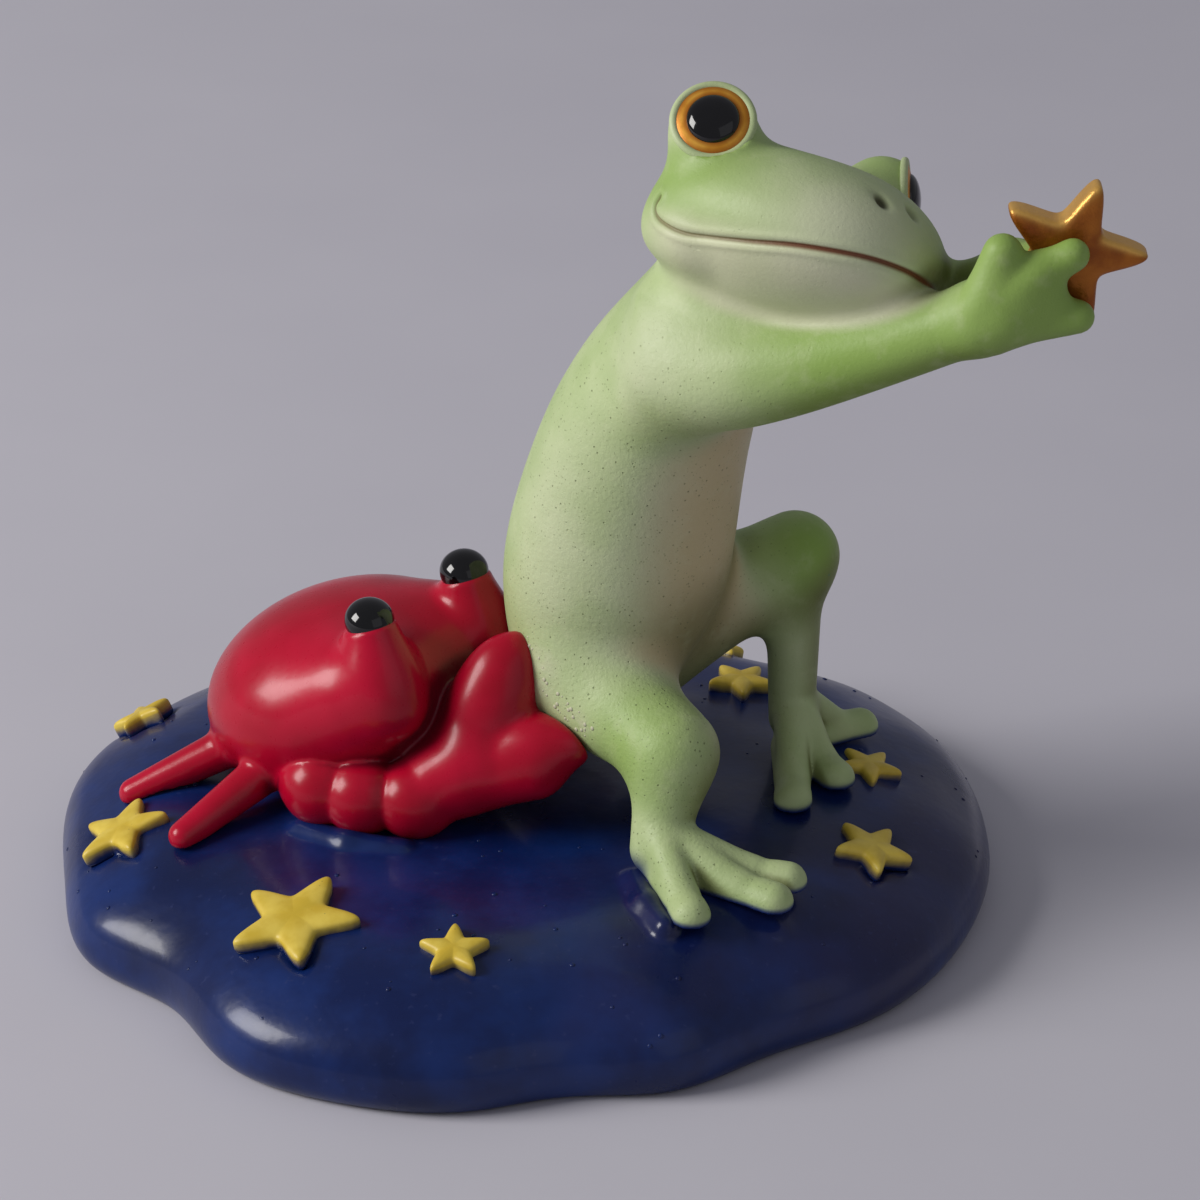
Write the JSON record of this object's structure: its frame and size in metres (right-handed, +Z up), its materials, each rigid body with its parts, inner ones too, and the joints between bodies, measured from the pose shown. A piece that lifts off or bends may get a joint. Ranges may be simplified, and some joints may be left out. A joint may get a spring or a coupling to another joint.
{
  "type": "frog figurine",
  "caption": "Small painted resin ornament: a frog on a cloud-shaped base holds up a star while a crab pinches it from behind.",
  "frame": {"origin": "middle of the base's flat underside", "axes": "+Z up, +X from the crab towards the held star, -Y towards the side that is normally seen"},
  "size_m": [0.0872, 0.072, 0.0748],
  "materials": {
    "frog_skin": "painted cast resin, satin",
    "base_blue": "painted cast resin, gloss lacquer",
    "star_yellow": "painted cast resin, satin",
    "star_gold": "painted cast resin, metallic gold",
    "eye_gold": "painted resin bead, satin gold",
    "bead_black": "resin bead, high gloss",
    "crab_red": "painted cast resin, gloss lacquer",
    "pin_steel": "plain steel dowel pin"
  },
  "bodies": {
    "root": {"frog_torso": "frog_skin", "frog_head": "frog_skin", "frog_right_arm": "frog_skin", "frog_left_arm": "frog_skin", "frog_right_leg": "frog_skin", "frog_left_leg": "frog_skin", "cloud_base": "base_blue", "base_star_1": "star_yellow", "base_star_2": "star_yellow", "base_star_3": "star_yellow", "base_star_4": "star_yellow", "base_star_5": "star_yellow", "base_star_6": "star_yellow", "base_star_7": "star_yellow", "base_star_8": "star_yellow", "held_star": "star_gold", "frog_right_iris": "eye_gold", "frog_left_iris": "eye_gold", "frog_right_pupil": "bead_black", "frog_left_pupil": "bead_black", "crab_right_eye": "bead_black", "crab_left_eye": "bead_black", "crab_shell": "crab_red", "crab_right_claw": "crab_red", "crab_left_claw": "crab_red", "crab_front_right_leg": "crab_red", "crab_rear_right_leg": "crab_red", "crab_front_left_leg": "crab_red", "crab_rear_left_leg": "crab_red", "crab_right_eye_stalk": "crab_red", "crab_left_eye_stalk": "crab_red", "neck_pin": "pin_steel", "shoulder_pins": "pin_steel", "hip_pins": "pin_steel", "foot_pins": "pin_steel", "crab_mount_pins": "pin_steel", "claw_pins": "pin_steel"}
  },
  "joints": []
}
